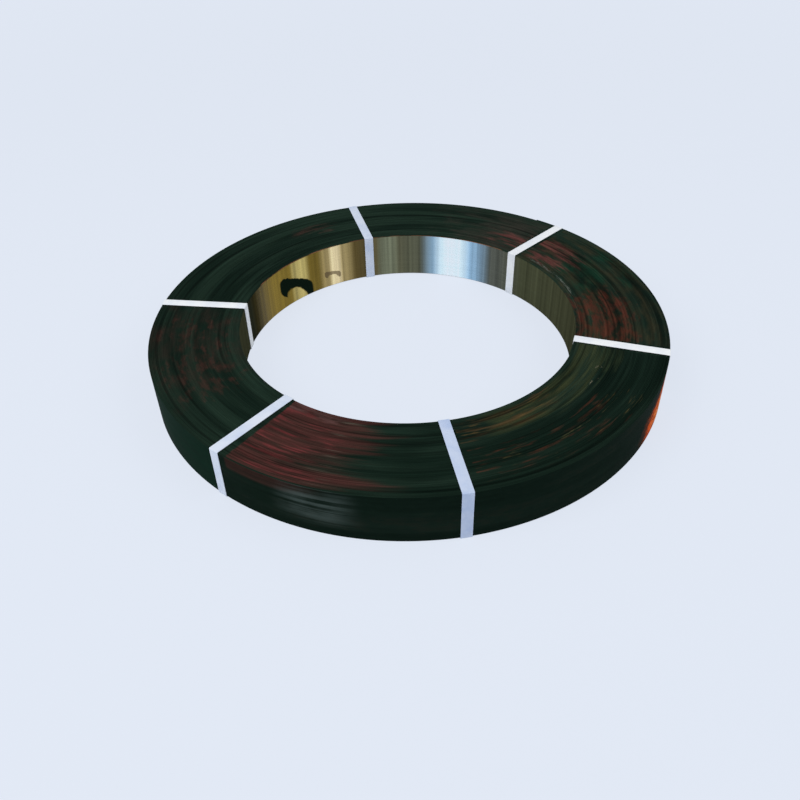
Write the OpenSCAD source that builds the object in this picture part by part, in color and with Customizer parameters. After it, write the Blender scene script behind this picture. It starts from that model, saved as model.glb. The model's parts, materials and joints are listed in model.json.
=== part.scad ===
// Coil of spring steel strip, lying flat and tied with six plastic straps.
// Millimetres. The coil's axis is +Z and the floor is z = 0.

/* [Strip] */
// Width of the strip, which is the height of the coil
strip_w = 60; // [20:1:120]
// Thickness of the strip
strip_t = 1.5; // [0.8:0.1:3]
// Corner taken off the strip's edges, which leaves a groove between turns
edge_break = 0.3; // [0.1:0.05:0.35]
// How far a turn's edge may stand out from the level of the coil's ends
wander = 0.25; // [0.05:0.05:1]

/* [Coil] */
// Bore of the coil
bore_d = 400; // [250:1:610]
// Turns of strip on the coil
turns = 71; // [20:1:120]

/* [Straps] */
// Width of a strap
strap_w = 12; // [6:0.5:25]
// Thickness of a strap
strap_t = 0.6; // [0.3:0.1:1.2]
// Room between a strap and the coil's round walls
strap_gap = 0.1; // [0.05:0.05:0.3]
// Radius on the outside of a strap where it bends over the coil's edges
strap_bend = 0.6; // [0.1:0.05:1.2]
// Where each strap lies around the coil, in degrees from +X
strap_angles = [-80, -17, 45, 105, 173, 231]; // [-180:1:360]

/* [Hidden] */
$fn = 96;

bore_r = bore_d / 2;
coil_r = bore_r + turns * strip_t;

// How far turn i lies above the coil's mean level: an uneven winding, from two waves out of step.
function turn_shift(i) = wander * (sin(47 * i) + sin(113 * i + 40)) / 2;
shifts = [for (i = [0 : turns - 1]) turn_shift(i)];

// The lowest turn stands on the straps, and the highest one carries them.
mean_z = strap_t - min(shifts);
coil_top = mean_z + max(shifts) + strip_w;

// Inside radius of turn i
function turn_r(i) = bore_r + i * strip_t;

// Lower edge of turn i. The coil's first and last turns have a neighbour on one side only.
function edge_z(i) = mean_z + shifts[max(0, min(turns - 1, i))];

// Bottom of the groove inside turn i, on the coil's lower end and on its upper end
function low_groove(i) = [turn_r(i), max(edge_z(i - 1), edge_z(i)) + edge_break];
function high_groove(i) = [turn_r(i), min(edge_z(i - 1), edge_z(i)) + strip_w - edge_break];

// Half section of the wound strip: each turn is a flat land between two grooves, on both ends.
module coil_section()
    polygon(concat(
        [for (i = [0 : turns - 1]) each [
            low_groove(i),
            [turn_r(i) + edge_break, edge_z(i)],
            [turn_r(i + 1) - edge_break, edge_z(i)]
        ]],
        [low_groove(turns), high_groove(turns)],
        [for (i = [turns - 1 : -1 : 0]) each [
            [turn_r(i + 1) - edge_break, edge_z(i) + strip_w],
            [turn_r(i) + edge_break, edge_z(i) + strip_w],
            high_groove(i)
        ]]
    ));

module strip_coil()
    color("#1d2622")
        rotate_extrude() coil_section();

// Rectangle between two corners, with round corners
module round_rectangle(low, high, r) {
    translate(low + [r, 0]) square(high - low - [2 * r, 0]);
    translate(low + [0, r]) square(high - low - [0, 2 * r]);
    for (x = [low.x + r, high.x - r], y = [low.y + r, high.y - r])
        translate([x, y]) circle(r);
}

// Section of a strap's loop around the wall of the coil
module strap_section() {
    low = [bore_r - strap_gap, strap_t];
    high = [coil_r + strap_gap, coil_top];
    wall = [strap_t, strap_t];
    difference() {
        round_rectangle(low - wall, high + wall, strap_bend);
        translate(low) square(high - low);
    }
}

// The loop is turned about the coil's axis, so that it fits the round walls, and cut to the strap's width.
module strap(angle)
    color("#d9dfec")
        rotate(angle)
            intersection() {
                rotate_extrude() strap_section();
                translate([0, -strap_w / 2, 0])
                    cube([coil_r + strap_gap + 2 * strap_t, strap_w, coil_top + 2 * strap_t]);
            }

strip_coil();
for (i = [0 : len(strap_angles) - 1])
    strap(strap_angles[i]);
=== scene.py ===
import json
import math

import bpy
import numpy as np
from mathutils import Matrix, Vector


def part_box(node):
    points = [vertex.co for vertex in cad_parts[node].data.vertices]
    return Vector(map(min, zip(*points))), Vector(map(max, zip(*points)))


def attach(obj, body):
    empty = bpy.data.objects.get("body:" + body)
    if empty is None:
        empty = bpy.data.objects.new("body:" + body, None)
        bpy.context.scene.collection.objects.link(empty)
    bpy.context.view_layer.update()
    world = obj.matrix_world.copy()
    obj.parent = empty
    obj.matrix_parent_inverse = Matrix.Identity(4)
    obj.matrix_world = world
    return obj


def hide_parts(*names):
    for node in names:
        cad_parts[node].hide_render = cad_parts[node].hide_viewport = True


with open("model.json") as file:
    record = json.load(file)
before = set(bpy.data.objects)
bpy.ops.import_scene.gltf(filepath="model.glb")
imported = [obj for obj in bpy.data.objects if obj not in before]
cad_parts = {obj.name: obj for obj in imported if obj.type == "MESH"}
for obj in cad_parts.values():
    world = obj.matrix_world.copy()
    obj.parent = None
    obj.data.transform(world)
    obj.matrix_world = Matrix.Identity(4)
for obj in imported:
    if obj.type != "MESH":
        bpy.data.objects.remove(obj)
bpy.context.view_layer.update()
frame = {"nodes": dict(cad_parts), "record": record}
print("frame loaded:", ", ".join(sorted(frame["nodes"])))

turnAngle = 2 * math.pi

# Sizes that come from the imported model, in metres
coilLow, coilHigh = (np.array(corner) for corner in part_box("strip_coil"))
mandrelBore = next(m for m in frame["record"]["mounts"] if m["name"] == "mandrel_bore")
boreRadius = mandrelBore["dims"]["r_mm"] / 1000
coilRadius = coilHigh[0]
strapNames = sorted(name for name in frame["nodes"] if name.startswith("strap_"))


def seenColour(red, green, blue):
    # a colour as a picture gives it, 0 to 255, turned into the linear one that a shader takes
    shares = np.array([red, green, blue]) / 255
    light = np.where(shares > 0.04045, ((shares + 0.055) / 1.055) ** 2.4, shares / 12.92)
    return (*light.tolist(), 1.0)


class Wire:
    # One output of a shader node. Python's operators on it add Math nodes to its tree.
    def __init__(self, tree, socket=None):
        self.tree = tree
        self.socket = socket

    def add(self, kind, settings=None, sockets=None, output=0):
        # any node: its settings first, then the values or links of its sockets
        node = self.tree.nodes.new(kind)
        for name, value in (settings or {}).items():
            if name == "stops":
                fillRamp(node.color_ramp, value)
            else:
                setattr(node, name, value)
        for key, value in (sockets or {}).items():
            if isinstance(value, Wire):
                self.tree.links.new(value.socket, node.inputs[key])
            else:
                node.inputs[key].default_value = value
        return Wire(self.tree, node.outputs[output] if len(node.outputs) else None)

    def maths(self, operation, *values):
        return self.add("ShaderNodeMath", {"operation": operation}, dict(enumerate(values)))

    def vectors(self, operation, *values, output=0):
        return self.add("ShaderNodeVectorMath", {"operation": operation}, dict(enumerate(values)), output)

    def __add__(self, other):
        return self.maths("ADD", self, other)

    def __sub__(self, other):
        return self.maths("SUBTRACT", self, other)

    def __rsub__(self, other):
        return self.maths("SUBTRACT", other, self)

    def __mul__(self, other):
        return self.maths("MULTIPLY", self, other)

    def __truediv__(self, other):
        return self.maths("DIVIDE", self, other)

    def __pow__(self, other):
        return self.maths("POWER", self, other)

    __radd__ = __add__
    __rmul__ = __mul__

    def parts(self):
        # the three numbers of a vector
        first = self.add("ShaderNodeSeparateXYZ", sockets={0: self})
        return [Wire(self.tree, output) for output in first.socket.node.outputs]

    def rise(self, low, high):
        # 0 below low, 1 above high and an S-curve between; it falls where low is the larger
        return self.add("ShaderNodeMapRange", {"interpolation_type": "SMOOTHSTEP"},
                        {"Value": self, "From Min": low, "From Max": high})

    def swing(self, amount):
        # a noise from 0 to 1 made to swing about 0, over an amount in all
        return (self - 0.5) * amount

    def blend(self, share, under, over):
        # one colour with a share of another one laid over it; a Mix node's colour sockets go by number
        return self.add("ShaderNodeMix", {"data_type": "RGBA"}, {0: share, 6: under, 7: over}, 2)

    def shade(self, amount):
        # this colour made darker or lighter by a number
        return self.add("ShaderNodeVectorMath", {"operation": "SCALE"}, {0: self, "Scale": amount})

    def noise(self, place, detail):
        return self.add("ShaderNodeTexNoise", None,
                        {"Vector": place, "Scale": 1.0, "Detail": detail, "Roughness": 0.6})

    def bump(self, strength, distance):
        # a normal that follows this height
        return self.add("ShaderNodeBump", None, {"Height": self, "Strength": strength, "Distance": distance})


def fillRamp(ramp, stops):
    # stops are pairs of a place from 0 to 1 and a colour
    while len(ramp.elements) < len(stops):
        ramp.elements.new(1.0)
    for element, (place, colour) in zip(ramp.elements, stops):
        element.position = place
        element.color = colour


def newMaterial(name):
    # a material, a wire to start its nodes from, and its shader
    material = bpy.data.materials.new(name)
    material.use_nodes = True
    return material, Wire(material.node_tree), material.node_tree.nodes["Principled BSDF"]


def setShader(shader, finish, colour, uneven, relief, metallic=None):
    # uneven is the noise that varies a finish's roughness, relief is the height of its bumps
    roughness = finish["roughness"] + uneven.swing(finish["roughnessSpread"])
    wires = {"Base Color": colour, "Roughness": roughness, "Normal": relief.bump(*finish["bump"])}
    if metallic is not None:
        wires["Metallic"] = metallic
    for name, wire in wires.items():
        wire.tree.links.new(wire.socket, shader.inputs[name])
    shader.inputs["Specular IOR Level"].default_value = finish["specular"]


seedShift = (7.31, 3.17)  # how far one seed moves a noise along its first two axes


class Winding:
    # Where a point of the coil lies: its height, its distance from the axis and its direction from there
    def __init__(self, start):
        self.start = start
        self.place = start.add("ShaderNodeTexCoord", output="Object")
        x, y, self.height = self.place.parts()
        self.radius = (x * x + y * y) ** 0.5
        self.degrees = start.maths("ARCTAN2", y, x) * math.degrees(1)
        self.direction = start.vectors("NORMALIZE", start.vectors("MULTIPLY", self.place, (1, 1, 0)))
        across, along, _ = self.direction.parts()
        self.onEnds = start.add("ShaderNodeCombineXYZ", sockets={0: self.radius, 1: across, 2: along})
        self.onWalls = start.add("ShaderNodeCombineXYZ", sockets={0: self.height, 1: across, 2: along})

    def lean(self, degrees):
        # cosine of the angle between a point's direction and a given one
        way = math.radians(degrees)
        aim = (math.cos(way), math.sin(way), 0)
        return self.start.vectors("DOT_PRODUCT", self.direction, aim, output="Value")

    def facing(self, degrees, half, soft):
        # 1 within half an angle of a direction, falling to 0 over a soft one
        return self.lean(degrees).rise(math.cos(math.radians(half + soft)), math.cos(math.radians(half)))

    def past(self, degrees, soft):
        # 0 before a direction, 1 after it, for half a turn; a negative soft angle swaps the two
        return self.lean(degrees + 90).rise(0, math.sin(math.radians(soft)))

    def sector(self, first, last, softFirst, softLast):
        # 1 from one direction round to another less than half a turn on, fading inside both ends
        return self.past(first, softFirst) * self.past(last, -softLast)

    def between(self, low, high, soft):
        # 1 between two radii in metres
        return self.radius.rise(low - soft, low + soft) * self.radius.rise(high + soft, high - soft)

    def streaks(self, place, length, width, seed, detail=3.0):
        # noise from 0 to 1 that is drawn out along the turns, with its length and width in metres
        around = coilRadius / length
        shift = (seed * seedShift[0], seed * seedShift[1], 0)
        spot = self.start.vectors("MULTIPLY_ADD", place, (1 / width, around, around), shift)
        return self.start.noise(spot, detail)

    def noises(self, place, finish):
        # all the streaks that a finish names, in its own order
        return [self.streaks(place, *values) for values in finish["noises"].values()]

    def turnTone(self, patches, seed, detail):
        # noise along the strip itself, so that each turn differs from its neighbours
        turn, _, _ = self.start.add("ShaderNodeUVMap", {"uv_map": "winding"}).parts()
        return self.start.add("ShaderNodeTexNoise", {"noise_dimensions": "1D"},
                              {"W": turn * patches + seed, "Scale": 1.0, "Detail": detail})


# Edges of the turns: black scale with tempering tints that run along the winding.
edgeFinish = {
    "scale": seenColour(28, 43, 35),
    "deepScale": seenColour(17, 30, 24),
    "deepCover": (0.38, 0.64),  # the broad noise at which the deep scale starts and is full
    "gapShade": seenColour(4, 7, 6),  # painted shade in the gaps between groups of turns
    "gapCover": (0.56, 0.66),
    "gapStrength": 0.5,
    "noises": {  # length and width in metres, seed and detail
        "broad": (0.30, 0.020, 21, 3.0),
        "fine": (0.12, 0.0030, 22, 4.0),
        "gaps": (0.50, 0.0060, 23, 2.0),
    },
    "turnTone": (3.1, 4.0, 2.0),  # patches in one turn, seed and detail
    "shading": {"turns": 0.9, "fine": 1.2, "base": -0.05},
    "roughness": 0.6,
    "roughnessSpread": 0.3,
    "bump": (0.2, 0.0002),  # strength, and height in metres
    "specular": 0.004,
    "fray": 0.5,  # how far the streaks reach out over a tint's soft border
    "border": 0.2,  # share of its place below which a tint fades out
    # sector: from and to in degrees, and how soft each of the two is; radii: from, to and softness in metres;
    # streak: length and width in metres; cover: the noise at which the tint starts and is full
    "tints": {
        "frontDark": {
            "colour": seenColour(13, 26, 20), "cover": (0.20, 0.60), "strength": 0.75,
            "sector": (-104, -18.4, 16, 0.8), "radii": (0.234, 0.345, 0.020), "streak": (0.20, 0.0120)},
        "maroonGround": {
            "colour": seenColour(68, 41, 38), "cover": (0.14, 0.48), "strength": 0.9,
            "sector": (-126.6, -84, 0.8, 32), "radii": (0.198, 0.3045, 0.002), "streak": (0.20, 0.0100)},
        "maroonStreaks": {
            "colour": seenColour(100, 46, 47), "cover": (0.44, 0.68), "strength": 0.8,
            "sector": (-126.6, -80, 0.8, 42), "radii": (0.198, 0.302, 0.004), "streak": (0.05, 0.0045)},
        "maroonLines": {
            "colour": seenColour(36, 29, 25), "cover": (0.48, 0.62), "strength": 0.75,
            "sector": (-126.6, -84, 0.8, 30), "radii": (0.200, 0.304, 0.004), "streak": (0.11, 0.0050)},
        "maroonPale": {
            "colour": seenColour(94, 68, 66), "cover": (0.36, 0.66), "strength": 0.55,
            "sector": (-126.6, -98, 0.8, 16), "radii": (0.196, 0.220, 0.010), "streak": (0.05, 0.0050)},
        "greyLines": {
            "colour": seenColour(84, 82, 72), "cover": (0.54, 0.70), "strength": 0.65,
            "sector": (-122, -84, 16, 26), "radii": (0.204, 0.3055, 0.003), "streak": (0.12, 0.0038)},
        "leftMottle": {
            "colour": seenColour(54, 38, 34), "cover": (0.36, 0.74), "strength": 0.32,
            "sector": (-186.4, -129.6, 0.8, 24), "radii": (0.196, 0.310, 0.008), "streak": (0.04, 0.0160)},
        "leftSpecks": {
            "colour": seenColour(74, 43, 39), "cover": (0.47, 0.72), "strength": 0.4,
            "sector": (-186.4, -129.6, 8, 16), "radii": (0.204, 0.304, 0.010), "streak": (0.024, 0.0085)},
        "frontOlive": {
            "colour": seenColour(58, 63, 39), "cover": (0.30, 0.70), "strength": 0.7,
            "sector": (-78.6, -18.4, 12, 0.8), "radii": (0.196, 0.246, 0.022), "streak": (0.10, 0.0070)},
        "frontBrown": {
            "colour": seenColour(74, 56, 36), "cover": (0.46, 0.68), "strength": 0.65,
            "sector": (-78.6, -30, 0.8, 22), "radii": (0.200, 0.244, 0.012), "streak": (0.07, 0.0055)},
        "frontGold": {
            "colour": seenColour(104, 84, 50), "cover": (0.54, 0.70), "strength": 0.55,
            "sector": (-78.6, -38, 0.8, 18), "radii": (0.202, 0.240, 0.010), "streak": (0.05, 0.0034)},
        "frontRust": {
            "colour": seenColour(88, 48, 36), "cover": (0.54, 0.74), "strength": 0.4,
            "sector": (-78, -30, 1, 12), "radii": (0.244, 0.304, 0.008), "streak": (0.050, 0.0038)},
        "frontSpecks": {
            "colour": seenColour(112, 100, 62), "cover": (0.60, 0.76), "strength": 0.4,
            "sector": (-74, -28, 4, 6), "radii": (0.258, 0.300, 0.006), "streak": (0.045, 0.0034)},
        "frontEnd": {
            "colour": seenColour(46, 56, 38), "cover": (0.32, 0.66), "strength": 0.6,
            "sector": (-38, -18.4, 12, 0.8), "radii": (0.222, 0.264, 0.014), "streak": (0.06, 0.0060)},
        "frontPale": {
            "colour": seenColour(140, 132, 112), "cover": (0.64, 0.74), "strength": 0.7,
            "sector": (-44, -22, 6, 5), "radii": (0.228, 0.254, 0.006), "streak": (0.018, 0.0040)},
        "rightOlive": {
            "colour": seenColour(56, 51, 36), "cover": (0.34, 0.74), "strength": 0.6,
            "sector": (-15.6, 43.4, 0.8, 0.8), "radii": (0.198, 0.308, 0.006), "streak": (0.04, 0.0120)},
        "rightRust": {
            "colour": seenColour(88, 43, 34), "cover": (0.36, 0.66), "strength": 0.64,
            "sector": (-15.6, 30, 0.8, 30), "radii": (0.180, 0.280, 0.024), "streak": (0.03, 0.0085)},
        "rightGreen": {
            "colour": seenColour(20, 54, 40), "cover": (0.34, 0.66), "strength": 0.7,
            "sector": (-4, 42, 26, 18), "radii": (0.204, 0.312, 0.020), "streak": (0.05, 0.0140)},
        "rightPink": {
            "colour": seenColour(108, 60, 58), "cover": (0.35, 0.67), "strength": 0.62,
            "sector": (12, 43.4, 22, 0.8), "radii": (0.203, 0.276, 0.018), "streak": (0.05, 0.0090)},
        "rightPale": {
            "colour": seenColour(132, 140, 132), "cover": (0.40, 0.66), "strength": 0.42,
            "sector": (4, 42, 8, 4), "radii": (0.2060, 0.2120, 0.002), "streak": (0.012, 0.0024)},
        "backGrey": {
            "colour": seenColour(60, 54, 49), "cover": (0.30, 0.72), "strength": 0.5,
            "sector": (46.4, 104, 0.8, 44), "radii": (0.198, 0.308, 0.006), "streak": (0.06, 0.0140)},
        "backRed": {
            "colour": seenColour(104, 58, 56), "cover": (0.36, 0.67), "strength": 0.6,
            "sector": (46.4, 78, 0.8, 28), "radii": (0.206, 0.268, 0.016), "streak": (0.05, 0.0080)},
        "backBrown": {
            "colour": seenColour(76, 52, 47), "cover": (0.36, 0.70), "strength": 0.45,
            "sector": (106.4, 140, 10, 18), "radii": (0.240, 0.280, 0.014), "streak": (0.04, 0.0090)},
        "backRim": {
            "colour": seenColour(134, 92, 66), "cover": (0.32, 0.62), "strength": 0.7,
            "sector": (47, 170, 4, 14), "radii": (0.1980, 0.2018, 0.0004), "streak": (0.03, 0.0200)},
    },
}


def windingEdges():
    # scale, then each tint where its streaks rise within its place, then painted shade in the gaps, and
    # shading turn by turn
    material, start, shader = newMaterial("windingEdges")
    coil = Winding(start)
    broad, fine, gaps = coil.noises(coil.onEnds, edgeFinish)
    turns = coil.turnTone(*edgeFinish["turnTone"])
    colour = start.blend(broad.rise(*edgeFinish["deepCover"]), edgeFinish["scale"], edgeFinish["deepScale"])
    for seed, tint in enumerate(edgeFinish["tints"].values()):
        place = coil.sector(*tint["sector"]) * coil.between(*tint["radii"])
        streak = coil.streaks(coil.onEnds, *tint["streak"], seed) - (1 - place) * edgeFinish["fray"]
        share = streak.rise(*tint["cover"]) * place.rise(0, edgeFinish["border"])
        colour = start.blend(share * tint["strength"], colour, tint["colour"])
    # painted shade in the gaps between groups of turns
    gapShadeShare = gaps.rise(*edgeFinish["gapCover"]) * edgeFinish["gapStrength"]
    colour = start.blend(gapShadeShare, colour, edgeFinish["gapShade"])
    shading = edgeFinish["shading"]
    colour = colour.shade(turns * shading["turns"] + fine * shading["fine"] + shading["base"])
    setShader(shader, edgeFinish, colour, fine, fine)
    return material


# Outside face of the last turn: oiled black steel, with a painted sheen in one place and a painted orange
# reflection in another.
outerFinish = {
    "black": seenColour(14, 26, 20),
    "noises": {  # length and width in metres, seed and detail
        "drawn": (0.35, 0.0045, 31, 4.0),  # drawing lines that run along the strip
        "cloud": (0.05, 0.033, 32, 3.0),
        "grain": (0.012, 0.004, 33, 5.0),
        "smear": (0.22, 0.020, 34, 3.0),
        "lines": (0.25, 0.0013, 35, 2.0),
        "scuffs": (0.04, 0.010, 36, 5.0),
    },
    # laid over the black in this order; sector: from and to in degrees, and how soft each of the two is;
    # cover: the noise at which a tone starts and is full; heights: where it starts and is full, in metres;
    # depth: the degrees inside the painted orange reflection's edge at which it starts and is full; border:
    # the share of the reflection's sector at which it is full; ragged: metres over which its foot wanders;
    # clouds
    # and drawn: the shares of those in its noise
    "tones": {
        "oily": {"colour": seenColour(21, 33, 27), "strength": 0.7, "cover": (0.42, 0.66)},
        "brown": {"colour": seenColour(32, 26, 20), "strength": 0.2, "cover": (0.52, 0.62)},
        "green": {"colour": seenColour(15, 36, 27), "strength": 0.8, "sector": (-190, -129, 6, 2)},
        "bright": {  # drawing lines and scuffs on the far side, with the share of each
            "colour": seenColour(52, 64, 60), "strength": 1.0, "sector": (14, 178, 24, 24),
            "lines": 0.4, "lineCover": (0.54, 0.72), "scuffs": 0.5, "scuffCover": (0.56, 0.74)},
        "spill": {  # the red of the edges, run down over the rim
            "colour": seenColour(48, 32, 28), "strength": 0.85, "sector": (-126.6, -104, 0.8, 10),
            "heights": (0.044, 0.054), "ragged": 0.02},
        # a painted sheen: a paler patch where the wall would reflect light
        "paintedSheen": {
            "colour": seenColour(64, 75, 72), "strength": 0.8, "sector": (-117, -98, 8, 8),
            "heights": (0.008, 0.030), "clouds": 0.5, "cover": (0.55, 0.90)},
        # a painted orange reflection at the wall's grazing edge, in three rings: a dark rim, the orange and a
        # paler core
        "reflectionDark": {"colour": seenColour(96, 46, 27), "strength": 0.85, "depth": (-4, 1.5), "border": 0.4},
        "orangeReflection": {"colour": seenColour(202, 82, 32), "strength": 1.0, "depth": (0, 4), "cover": (0.38, 0.52)},
        "reflectionPale": {
            "colour": seenColour(224, 146, 78), "strength": 0.85, "depth": (3, 9), "cover": (0.43, 0.57),
            "drawn": 0.3},
    },
    # outline of the painted orange reflection
    "reflectionPatch": {
        "edge": -34.5,  # direction of the patch's edge at the coil's foot, in degrees
        "drift": 10.0,  # how far that edge has moved on at the top
        "driftHeights": (0.028, 0.055),
        "cloudWander": 9,  # degrees by which the noises move the edge
        "grainWander": 8,
        "sector": (-60, -18.6, 4, 5),  # the directions that it stays within, and how soft the two ends are
        "clouds": 0.45,  # share of clouds in its blotches, and the rest is grain
    },
    "shading": {"drawn": 0.7, "grain": 0.5, "base": 0.4},
    "roughness": 0.6,
    "roughnessSpread": 0.3,
    "bump": (0.15, 0.0002),  # strength, and height in metres
    "specular": 0.004,
}


def outerFace():
    # black steel with the tones laid over it, each by its own mask, shaded by drawing lines and grain
    material, start, shader = newMaterial("outerFace")
    coil = Winding(start)
    drawn, cloud, grain, smear, lines, scuffs = coil.noises(coil.onWalls, outerFinish)
    tones, patch, shading = (outerFinish[name] for name in ("tones", "reflectionPatch", "shading"))
    bright, spill, paintedSheen, reflectionPale = (tones[name] for name in ("bright", "spill", "paintedSheen", "reflectionPale"))
    drift = coil.height.rise(*patch["driftHeights"]) * patch["drift"]
    wander = cloud.swing(patch["cloudWander"]) + grain.swing(patch["grainWander"])
    depth = coil.degrees - patch["edge"] - drift + wander
    reflectionSector = coil.sector(*patch["sector"])
    blotch = cloud * patch["clouds"] + grain * (1 - patch["clouds"])
    lineShare = lines.rise(*bright["lineCover"]) * bright["lines"]
    scuffShare = scuffs.rise(*bright["scuffCover"]) * bright["scuffs"]
    raggedHeight = coil.height + drawn.swing(spill["ragged"])
    paleBlotch = drawn * reflectionPale["drawn"] + blotch * (1 - reflectionPale["drawn"])
    coverNoises = {
        "oily": smear,
        "brown": (smear + grain) / 2,
        "paintedSheen": cloud * paintedSheen["clouds"] + drawn,
        "orangeReflection": blotch,
        "reflectionPale": paleBlotch,
    }
    covers = {name: noise.rise(*tones[name]["cover"]) for name, noise in coverNoises.items()}
    masks = {
        "oily": covers["oily"],
        "brown": covers["brown"],
        "green": coil.sector(*tones["green"]["sector"]),
        "bright": (lineShare + scuffShare) * coil.sector(*bright["sector"]),
        "spill": coil.sector(*spill["sector"]) * raggedHeight.rise(*spill["heights"]),
        # the painted sheen, in its sector and above its lowest height
        "paintedSheen": coil.sector(*paintedSheen["sector"]) * coil.height.rise(*paintedSheen["heights"]) * covers["paintedSheen"],
        # the three rings of the painted orange reflection
        "reflectionDark": depth.rise(*tones["reflectionDark"]["depth"]) * reflectionSector.rise(0, tones["reflectionDark"]["border"]),
        "orangeReflection": depth.rise(*tones["orangeReflection"]["depth"]) * reflectionSector * covers["orangeReflection"],
        "reflectionPale": depth.rise(*reflectionPale["depth"]) * reflectionSector * covers["reflectionPale"],
    }
    colour = outerFinish["black"]
    for name, mask in masks.items():
        colour = start.blend(mask * tones[name]["strength"], colour, tones[name]["colour"])
    colour = colour.shade(drawn * shading["drawn"] + grain * shading["grain"] + shading["base"])
    setShader(shader, outerFinish, colour, drawn, drawn)
    return material


# Inside face of the first turn: bright rolled steel whose tempering colour, with painted reflections and
# painted shade, changes around the bore.
boreFinish = {
    # direction in degrees from +X and the colour there: tempering colour with painted reflections and painted
    # shade
    "temperingAndReflections": [
        (-30, seenColour(52, 52, 36)), (40, seenColour(64, 67, 49)), (52, seenColour(88, 90, 80)),
        (90, seenColour(90, 90, 70)), (110, seenColour(88, 74, 42)), (130, seenColour(118, 98, 40)),
        (152, seenColour(128, 105, 34)), (162, seenColour(58, 50, 22)), (168, seenColour(36, 38, 28)),
        (178, seenColour(54, 55, 39)), (202, seenColour(50, 51, 37)), (230, seenColour(100, 90, 58)),
        (275, seenColour(128, 132, 124)), (330, seenColour(52, 52, 36)),
    ],
    # painted highlights across the strip: direction, half width and softness in degrees, colour and strength
    "bands": {
        "blueSheen": {"facing": (69.5, 0, 15.5), "colour": seenColour(158, 194, 218), "strength": 0.95},
        "whiteSheen": {"facing": (71.3, 0, 8.2), "colour": seenColour(234, 252, 253), "strength": 1.0},
        "greySheen": {"facing": (97.5, 0, 5), "colour": seenColour(122, 125, 100), "strength": 0.95},
        "strawSheen": {"facing": (119.2, 1, 7.5), "colour": seenColour(180, 158, 106), "strength": 0.95},
        "strawFlare": {"facing": (119.6, 0.5, 2.6), "colour": seenColour(236, 214, 164), "strength": 0.9},
        "goldFlare": {"facing": (136.4, 1.2, 4.0), "colour": seenColour(204, 184, 112), "strength": 0.85},
    },
    "calm": (71, 4, 7),  # where the light is even: direction, half width and softness in degrees
    "shining": [(44, 165, 8, 9), (206, 316, 16, 16)],  # sectors of bare metal; the rest is dull with oil
    "noises": {  # length and width in metres, seed and detail
        "reflectionBars": (0.009, 0.5, 41, 4.0),  # upright bars of painted reflection, nearly alike from edge to edge
        "drawn": (0.40, 0.0011, 42, 4.0),  # fine drawing lines along the strip
        "ragged": (0.012, 0.008, 43, 3.0),
    },
    "shading": {"reflectionBars": 1.8, "calmReflectionBars": 0.5, "drawn": 0.4, "base": 0.9},
    "roughness": 0.26,
    "roughnessSpread": 0.2,
    "bump": (0.1, 0.0001),  # strength, and height in metres
    "specular": 0.0,
}

# Dark marks on the inside face: each a slanted bar with round corners and a round bite out of its lower side.
boreMarks = {
    "ragged": 0.006,  # how far the marks' outlines wander, in metres
    "barEdge": (1.2, 0.85),  # the fade across a bar's outline, which is at 1, and across a bite's
    "biteEdge": (0.8, 1.15),
    # direction in degrees and height in metres of a mark's middle; slope: its rise for each metre along;
    # half: half its length and height; bite: the bite's middle from there
    "marks": [
        {"colour": seenColour(15, 26, 19), "strength": 1.0, "direction": 138.9, "height": 0.0214,
         "slope": -0.4545, "half": (0.029, 0.0145), "bite": (0.001, -0.0145), "biteHalf": (0.0185, 0.0155)},
        {"colour": seenColour(92, 78, 60), "strength": 0.75, "direction": 121.2, "height": 0.0180,
         "slope": -0.245, "half": (0.0125, 0.0052), "bite": (0.001, -0.006), "biteHalf": (0.009, 0.0065)},
    ],
}


def markShape(coil, mark, wobble):
    # 1 in the bar, where the fourth powers of along and above, as shares of its half sizes, add up to
    # less than 1, and 0 in the bite, where the squares of its own two shares do
    along = (mark["direction"] - coil.degrees) * (math.radians(1) * boreRadius)
    above = coil.height - mark["height"] - along * mark["slope"] + wobble
    wide, tall = along / mark["half"][0], above / mark["half"][1]
    biteWide = (along - mark["bite"][0]) / mark["biteHalf"][0]
    biteTall = (above - mark["bite"][1]) / mark["biteHalf"][1]
    bar = wide * wide * wide * wide + tall * tall * tall * tall
    bite = biteWide * biteWide + biteTall * biteTall
    return bar.rise(*boreMarks["barEdge"]) * bite.rise(*boreMarks["biteEdge"])


def boreFace():
    # tempering colour with painted reflections and shade by direction, painted highlights over it, painted
    # reflection bars and drawing lines shading it, marks on top
    material, start, shader = newMaterial("boreFace")
    coil = Winding(start)
    reflectionBars, drawn, ragged = coil.noises(coil.onWalls, boreFinish)
    lowest = boreFinish["temperingAndReflections"][0][0]
    around = start.maths("WRAP", coil.degrees, lowest + 360, lowest) - lowest
    stops = [((angle - lowest) / 360, colour) for angle, colour in boreFinish["temperingAndReflections"]]
    # tempering colour with painted reflections and painted shade, by direction
    colour = start.add("ShaderNodeValToRGB", {"stops": stops}, {0: around / 360})
    # painted highlights
    for band in boreFinish["bands"].values():
        colour = start.blend(coil.facing(*band["facing"]) * band["strength"], colour, band["colour"])
    shading = boreFinish["shading"]
    calmer = coil.facing(*boreFinish["calm"]) * (shading["reflectionBars"] - shading["calmReflectionBars"])
    stirred = reflectionBars.swing(shading["reflectionBars"] - calmer)
    # shaded by painted reflection bars and by drawing lines
    colour = colour.shade(stirred + drawn * shading["drawn"] + shading["base"])
    wobble = ragged.swing(boreMarks["ragged"])
    shining = sum(coil.sector(*ends) for ends in boreFinish["shining"])
    for mark in boreMarks["marks"]:
        # each dark mark darkens the colour inside its outline and leaves no bare metal there
        markShare = markShape(coil, mark, wobble) * mark["strength"]
        colour = start.blend(markShare, colour, mark["colour"])
        shining = shining * (1 - markShare)
    setShader(shader, boreFinish, colour, drawn, drawn, shining)
    return material


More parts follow.
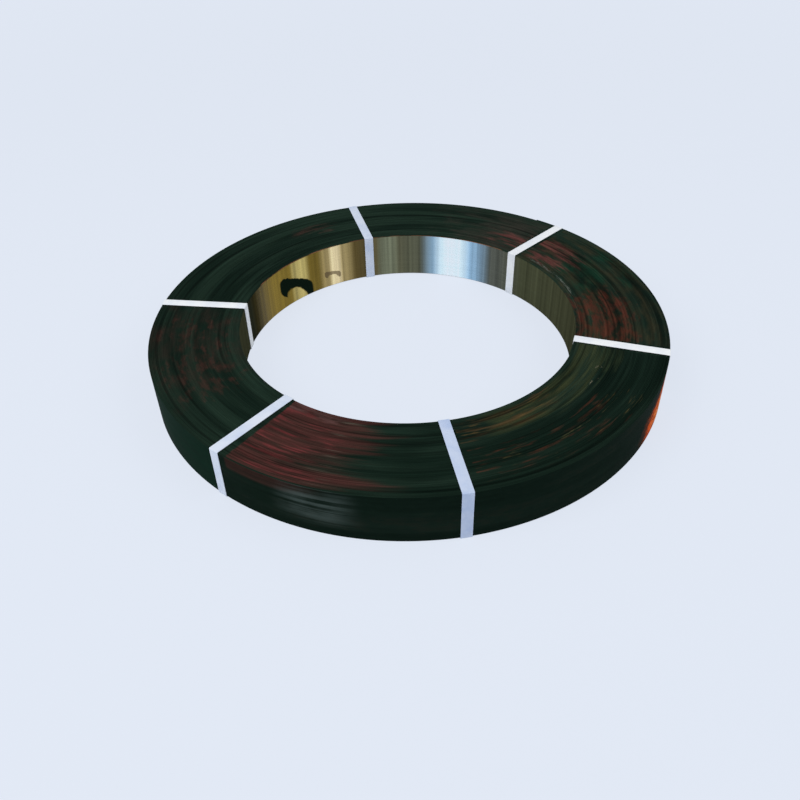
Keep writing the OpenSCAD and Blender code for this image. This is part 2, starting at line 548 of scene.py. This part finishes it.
# Strapping: white plastic tape with a pressed diamond grid and painted bluish shade.
strapFinish = {
    "white": seenColour(228, 231, 233),
    "bluishShade": seenColour(163, 180, 211),
    "bluishShadeShares": {-80: 0.75, 105: 0.55, 231: 0.45},  # how much painted bluish shade the straps in these directions have
    "strapReach": (11.5, 8.5),  # half width and softness in degrees of a strap's place among the directions
    "cloudSize": 0.025,  # in metres
    "cloudDetail": 3.0,
    "cloudCover": (0.3, 0.7),
    "cloudShare": 0.25,  # how much painted bluish shade the clouds lay on all the straps
    "gridPitch": 0.0016,
    "gridShade": 0.03,
    "roughness": 0.42,
    "roughnessSpread": 0.2,
    "bump": (0.25, 0.0001),  # strength, and height in metres
    "specular": 0.4,
}


def strapPlastic():
    # the grid is the product of two sine waves that cross the tape aslant; painted bluish shade lies in
    # clouds and on the straps in some directions
    material, start, shader = newMaterial("strapPlastic")
    coil = Winding(start)
    length, width, _ = start.add("ShaderNodeUVMap", {"uv_map": "band"}).parts()
    wave = turnAngle / strapFinish["gridPitch"]
    grid = start.maths("SINE", (length + width) * wave) * start.maths("SINE", (length - width) * wave)
    scale = 1 / strapFinish["cloudSize"]
    cloudPlace = start.vectors("MULTIPLY", coil.place, (scale, scale, scale))
    cloud = start.noise(cloudPlace, strapFinish["cloudDetail"])
    share = cloud.rise(*strapFinish["cloudCover"]) * strapFinish["cloudShare"]
    for degrees, bluishShade in strapFinish["bluishShadeShares"].items():
        share = share + coil.facing(degrees, *strapFinish["strapReach"]) * bluishShade
    # painted bluish shade over the white
    colour = start.blend(share, strapFinish["white"], strapFinish["bluishShade"])
    colour = colour.shade(grid * strapFinish["gridShade"] + 1)
    setShader(shader, strapFinish, colour, cloud, grid)
    return material


def quadObject(name, points, quads, materials, slots=None, maps=None, sharpAngle=30):
    # an object of four-cornered faces; slots are its faces' materials, maps are its corners' UV places
    mesh = bpy.data.meshes.new(name)
    mesh.vertices.add(len(points))
    mesh.vertices.foreach_set("co", points.astype(np.float32).ravel())
    mesh.loops.add(quads.size)
    mesh.loops.foreach_set("vertex_index", quads.astype(np.int32).ravel())
    mesh.polygons.add(len(quads))
    mesh.polygons.foreach_set("loop_start", np.arange(0, quads.size, 4, dtype=np.int32))
    for material in materials:
        mesh.materials.append(material)
    if slots is not None:
        mesh.polygons.foreach_set("material_index", slots.astype(np.int32))
    for title, places in (maps or {}).items():
        layer = mesh.uv_layers.new(name=title)
        layer.uv.foreach_set("vector", places.astype(np.float32).ravel())
    mesh.update(calc_edges=True)
    mesh.validate()
    mesh.shade_smooth()
    mesh.set_sharp_from_angle(angle=math.radians(sharpAngle))
    thing = bpy.data.objects.new(name, mesh)
    bpy.context.scene.collection.objects.link(thing)
    return thing


# The coil: one strip wound outwards, anticlockwise seen from above. What shows of it is meshed: its edges on
# both ends of the coil, the inside of the first turn, the outside of the last one and the two cut ends.
coilShape = {
    "stripWidth": 0.060,
    "innerEnd": -25.0,  # direction of the strip's start in the bore, degrees from +X
    "outerEnd": 52.0,  # direction of its end on the outside
    "wholeTurns": 70,
    "stepsPerTurn": 192,
    "edgeBreak": 0.0003,
    "looseGap": 0.0005,  # how much deeper the groove is where the winding was slack
    "levelWaves": [(47, 0), (113, 40)],  # waves of the turns' level: degrees a turn, and phase in degrees
    "slackWaves": [(4.7, 0.0), (6.1, 1.0)],  # waves of slack winding: turns a wave, and phase in radians
}

steps = coilShape["stepsPerTurn"]
partTurn = (coilShape["outerEnd"] - coilShape["innerEnd"]) % 360 / 360
lastStep = round((coilShape["wholeTurns"] + partTurn) * steps)
pitch = (coilRadius - boreRadius) / (lastStep / steps + 1)


def windingAngle(turn):
    # direction of the strip after so many turns
    return math.radians(coilShape["innerEnd"]) + turnAngle * turn


def windingRadius(turn):
    # inside radius of the strip: it grows by one thickness a turn
    return boreRadius + pitch * turn


def lowerEdge(turn):
    # height of the strip's lower edge: the mean of two waves out of step, within the coil's own height
    slack = coilHigh[2] - coilLow[2] - coilShape["stripWidth"]
    waves = [np.sin(np.radians(rate * turn + phase)) for rate, phase in coilShape["levelWaves"]]
    return coilLow[2] + slack / 2 * (1 + np.mean(waves, 0))


def grooveDepth(turn):
    # depth of the groove inside a turn: the broken edge, and more where two slow waves peak together
    slackness = sum(np.sin(turnAngle * turn / wave + phase) for wave, phase in coilShape["slackWaves"])
    return coilShape["edgeBreak"] + coilShape["looseGap"] * np.clip(slackness - 1.0, 0, 1)


def ringPoints(turn, radius, height):
    # points at a radius and a height, in the strip's direction after so many turns
    angle = windingAngle(turn)
    return np.stack([radius * np.cos(angle), radius * np.sin(angle), height], 1)


def coilMesh():
    # Each step along the strip has a groove point, the two sides of the flat land and the next turn's groove,
    # on the upper and on the lower end. A groove is shared by the turns on its two sides.
    groove = np.arange(lastStep + steps + 1) / steps
    land = np.arange(lastStep + 1) / steps
    inside = np.maximum(groove - 1, 0)  # the turn on a groove's inner side
    outside = np.minimum(groove, lastStep / steps)
    depth = grooveDepth(groove)
    grooveLow = np.maximum(lowerEdge(inside), lowerEdge(outside)) + depth
    grooveHigh = np.minimum(lowerEdge(inside), lowerEdge(outside)) + coilShape["stripWidth"] - depth
    landStart = windingRadius(land) + grooveDepth(land)
    landStop = windingRadius(land + 1) - grooveDepth(land + 1)
    rows = []
    for grooveHeight, landHeight in ((grooveHigh, lowerEdge(land) + coilShape["stripWidth"]),
                                     (grooveLow, lowerEdge(land))):
        rows.append(ringPoints(groove, windingRadius(groove), grooveHeight))
        rows.append(ringPoints(land, landStart, landHeight))
        rows.append(ringPoints(land, landStop, landHeight))
    firsts = np.cumsum([0] + [len(row) for row in rows])
    highGroove, highStart, highStop, lowGroove, lowStart, lowStop = firsts[:6]
    step = np.arange(lastStep)
    quads, slots, turns, acrosses = [], [], [], []

    def lay(corners, slot, turn, across):
        # adds a row of faces, with each corner's place along the strip and across it
        quads.append(np.stack(np.broadcast_arrays(*corners), 1))
        slots.append(np.broadcast_to(slot, len(quads[-1])))
        turns.append(np.stack(np.broadcast_arrays(*turn), 1))
        acrosses.append(np.tile(across, (len(quads[-1]), 1)))

    edge, outer, bore = 0, 1, 2  # the faces' materials
    marks = (0.0, 0.2, 0.8, 1.0)  # places across a turn's edge in its map: groove, sides of the land, groove
    now, later = step / steps, (step + 1) / steps
    for grooves, starts, stops, upper in ((highGroove, highStart, highStop, True),
                                          (lowGroove, lowStart, lowStop, False)):
        for near, far, left, right in ((grooves + step, starts + step, *marks[:2]),
                                       (starts + step, stops + step, *marks[1:3]),
                                       (stops + step, grooves + step + steps, *marks[2:])):
            if upper:
                lay([near, far, far + 1, near + 1], edge,
                    [now, now, later, later], [left, right, right, left])
            else:
                lay([near, near + 1, far + 1, far], edge,
                    [now, later, later, now], [left, left, right, right])
    first = np.arange(steps)
    lay([highGroove + first, highGroove + first + 1, lowGroove + first + 1, lowGroove + first], bore,
        [first / steps, (first + 1) / steps, (first + 1) / steps, first / steps], [1, 1, 0, 0])
    last = lastStep + first
    lay([highGroove + last, lowGroove + last, lowGroove + last + 1, highGroove + last + 1], outer,
        [last / steps - 1, last / steps - 1, (last + 1) / steps - 1, (last + 1) / steps - 1], [1, 0, 0, 1])
    for at, outward in ((0, False), (lastStep, True)):  # the strip's two cut ends
        high = [highGroove + at, highStart + at, highStop + at, highGroove + at + steps]
        low = [lowGroove + at, lowStart + at, lowStop + at, lowGroove + at + steps]
        for k in range(3):
            corners = [high[k], high[k + 1], low[k + 1], low[k]]
            if not outward:
                corners.reverse()
            lay([np.array([c]) for c in corners], edge, [np.array([at / steps])] * 4, [0, 1, 1, 0])
    winding = np.stack([np.concatenate(turns), np.concatenate(acrosses)], 2)
    return quadObject("wound_strip", np.concatenate(rows), np.concatenate(quads),
                      [windingEdges(), outerFace(), boreFace()], np.concatenate(slots), {"winding": winding})


woundStrip = coilMesh()
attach(woundStrip, "root")
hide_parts("strip_coil")
print("coil wound:", len(woundStrip.data.polygons), "faces")

# Straps: flat tape carried round the section of the coil's wall.
strapShape = {
    "width": 0.012,
    "gapShade": 0.00005,  # room between a strap and the steel
    "bend": 0.00065,  # radius of the tape's middle where it turns over an edge
    "softEdge": 0.00022,  # rounding of the tape's long edges
    "softPoints": 4,  # points on each of those rounded corners
    "bendSteps": 8,
    "runSteps": 16,
    "sharpAngle": 50,  # faces that meet at a larger angle show a sharp edge, in degrees
}


def tapeSection(width, thickness):
    # closed outline of the tape: places across it and through it, with round long edges
    soft = strapShape["softEdge"]
    turn = np.linspace(0, math.pi / 2, strapShape["softPoints"])
    across, through = [], []
    for quarter, (side, face) in enumerate(((1, 1), (-1, 1), (-1, -1), (1, -1))):
        angle = turn + quarter * math.pi / 2
        across.append(side * (width / 2 - soft) + soft * np.cos(angle))
        through.append(face * (thickness / 2 - soft) + soft * np.sin(angle))
    return np.concatenate(across), np.concatenate(through)


def loopPath(low, high):
    # rectangle with round corners between two corners of radius and height: places and outward directions
    bend = strapShape["bend"]
    corners = (((high[0], high[1]), (1, 1)), ((low[0], high[1]), (-1, 1)),
               ((low[0], low[1]), (-1, -1)), ((high[0], low[1]), (1, -1)))
    middles = [np.array(corner) - bend * np.array(side) for corner, side in corners]
    places, outwards = [], []
    for quarter in range(4):
        angle = np.radians(90 * quarter + np.linspace(0, 90, strapShape["bendSteps"] + 1))
        outward = np.stack([np.cos(angle), np.sin(angle)], 1)
        arc = middles[quarter] + bend * outward
        following = middles[(quarter + 1) % 4] + bend * outward[-1]
        share = np.linspace(0, 1, strapShape["runSteps"] + 1)[1:-1, None]
        run = arc[-1] + (following - arc[-1]) * share
        places += [arc, run]
        outwards += [outward, np.repeat(outward[-1:], len(run), 0)]
    return np.concatenate(places), np.concatenate(outwards)


def strapMesh(name, material):
    # the tape's outline carried along the loop, and turned about the coil's axis so that it follows the walls
    low, high = (np.array(corner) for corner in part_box(name))
    angle = math.atan2(low[1] + high[1], low[0] + high[0])
    thickness = coilLow[2] - low[2]
    sinceStart = (math.degrees(angle) - coilShape["innerEnd"]) % 360 / 360
    sinceEnd = (math.degrees(angle) - coilShape["outerEnd"]) % 360 / 360
    innerWall = windingRadius(sinceStart) - strapShape["gapShade"]
    outerWall = windingRadius(lastStep / steps + sinceEnd) + strapShape["gapShade"]
    half = thickness / 2
    path, outward = loopPath((innerWall - half, low[2] + half), (outerWall + half, high[2] - half))
    across, through = tapeSection(strapShape["width"], thickness)
    radius = path[:, :1] + outward[:, :1] * through
    height = path[:, 1:] + outward[:, 1:] * through
    turn = angle + across / radius
    points = np.stack([radius * np.cos(turn), radius * np.sin(turn), height], 2)
    rows, columns = points.shape[:2]
    row, column = np.meshgrid(np.arange(rows), np.arange(columns), indexing="ij")
    nextRow, nextColumn = (row + 1) % rows, (column + 1) % columns
    quads = np.stack([row * columns + column, row * columns + nextColumn,
                      nextRow * columns + nextColumn, nextRow * columns + column], 2).reshape(-1, 4)
    travel = np.linalg.norm(np.roll(path, -1, 0) - path, axis=1)
    length = np.concatenate([[0], np.cumsum(travel)])
    aside = np.append(across, across[0])
    lengths = np.stack([length[row], length[row], length[row + 1], length[row + 1]], 2)
    asides = np.stack([aside[column], aside[column + 1], aside[column + 1], aside[column]], 2)
    band = np.stack([lengths, asides], 3)
    return quadObject(name + "_tape", points.reshape(-1, 3), quads, [material],
                      None, {"band": band}, strapShape["sharpAngle"])


tapePlastic = strapPlastic()
for name in strapNames:
    tape = strapMesh(name, tapePlastic)
    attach(tape, "root")
    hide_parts(name)
print("straps tied:", len(strapNames))

# Floor and light: a pale blue sheet under even studio light.
studio = {
    "floorColour": seenColour(224, 231, 243),
    "floorSize": 12.0,
    "floorDrop": 0.0002,  # how far the sheet lies below the straps that the coil stands on
    "evenShare": 0.9,  # how much of the floor's look is its plain colour, and the rest its light and shadow
    "evenFrom": (0.5, 2.5),  # distances from the coil's middle over which the plain colour takes over
    "skyColour": (1, 1, 1, 1),
    "skyStrength": 0.45,
    # place and size in metres, power in watts
    "lamps": [((-1.4, -1.0, 2.0), 1.6, 42.0), ((1.7, -0.6, 2.0), 1.6, 26.0)],
}


def plainRays(start):
    # 1 for rays that show the background: straight from the camera, or by way of a mirror or glass
    paths = start.add("ShaderNodeLightPath").socket.node.outputs
    camera, glossy, through = (Wire(start.tree, paths[k]) for k in
                               ("Is Camera Ray", "Is Glossy Ray", "Is Transmission Ray"))
    return start.maths("MAXIMUM", camera, start.maths("MAXIMUM", glossy, through))


def floorSheet():
    # a square sheet: mostly its plain colour to the camera, matte to all other light, so a soft shadow shows
    material = bpy.data.materials.new("floorSheet")
    material.use_nodes = True
    tree = material.node_tree
    tree.nodes.clear()
    start = Wire(tree)
    matte = start.add("ShaderNodeBsdfDiffuse", None, {"Color": studio["floorColour"]})
    even = start.add("ShaderNodeEmission", None, {"Color": studio["floorColour"], "Strength": 1.0})
    place = start.add("ShaderNodeTexCoord", output="Object")
    away = start.vectors("LENGTH", place, output="Value").rise(*studio["evenFrom"])
    share = studio["evenShare"] + away * (1 - studio["evenShare"])
    mixed = start.add("ShaderNodeMixShader", None, {0: plainRays(start) * share, 1: matte, 2: even})
    start.add("ShaderNodeOutputMaterial", None, {"Surface": mixed})
    half = studio["floorSize"] / 2
    sides = ((-half, -half), (half, -half), (half, half), (-half, half))
    corners = np.array([[x, y, -studio["floorDrop"]] for x, y in sides])
    return quadObject("floor", corners, np.array([[0, 1, 2, 3]]), [material])


def studioSky():
    # even white light on the object, with the floor's colour behind it
    world = bpy.data.worlds.new("studioSky")
    world.use_nodes = True
    tree = world.node_tree
    tree.nodes.clear()
    start = Wire(tree)
    light = start.add("ShaderNodeBackground", None,
                      {"Color": studio["skyColour"], "Strength": studio["skyStrength"]})
    behind = start.add("ShaderNodeBackground", None, {"Color": studio["floorColour"], "Strength": 1.0})
    mixed = start.add("ShaderNodeMixShader", None, {0: plainRays(start), 1: light, 2: behind})
    start.add("ShaderNodeOutputWorld", None, {"Surface": mixed})
    bpy.context.scene.world = world


def softLamp(number, place, size, power):
    # a square lamp turned towards the middle of the coil's foot
    light = bpy.data.lights.new("softLamp" + str(number), "AREA")
    light.size = size
    light.energy = power
    lamp = bpy.data.objects.new(light.name, light)
    lamp.location = place
    lamp.rotation_euler = (-lamp.location).to_track_quat("-Z", "Y").to_euler()
    bpy.context.scene.collection.objects.link(lamp)


floor = floorSheet()
studioSky()
for number, lamp in enumerate(studio["lamps"]):
    softLamp(number, *lamp)
print("studio set")

# Camera: the photograph's view, in radii of the coil and in degrees, for a square picture.
photoView = {
    "distance": 3.2905,  # from the middle of the coil's foot
    "elevation": 35.907,
    "pitch": -3.203,  # turns of the camera away from that middle
    "yaw": -0.630,
    "roll": -1.071,
    "lens": 36.097,  # its focal length and its sensor's width in millimetres
    "sensor": 36.0,
    "nearest": 0.01,  # metres from the camera at which things start to show
}


def turned(first, second, angle):
    # two axes at right angles, turned in their plane by an angle from the first towards the second
    return (first * math.cos(angle) + second * math.sin(angle),
            second * math.cos(angle) - first * math.sin(angle))


def photoCamera():
    # placed by its distance and elevation, aimed at the middle of the coil's foot, then turned by the rest
    turns = ("elevation", "pitch", "yaw", "roll")
    elevation, pitchUp, yaw, roll = (math.radians(photoView[name]) for name in turns)
    place = photoView["distance"] * coilRadius * np.array([0, -math.cos(elevation), math.sin(elevation)])
    ahead = -place / np.linalg.norm(place)
    right = np.array([1.0, 0.0, 0.0])
    up = np.cross(right, ahead)
    ahead, right = turned(ahead, right, yaw)
    ahead, up = turned(ahead, up, pitchUp)
    right, up = turned(right, up, roll)
    lens = bpy.data.cameras.new("photoCamera")
    lens.sensor_width = photoView["sensor"]
    lens.lens = photoView["lens"]
    lens.clip_start = photoView["nearest"]
    camera = bpy.data.objects.new("photoCamera", lens)
    axes = np.eye(4)
    axes[:3, 0], axes[:3, 1], axes[:3, 2], axes[:3, 3] = right, up, -ahead, place
    camera.matrix_world = axes.T
    bpy.context.scene.collection.objects.link(camera)
    bpy.context.scene.camera = camera


photoCamera()
bpy.context.scene.view_settings.view_transform = "Standard"
print("camera placed")
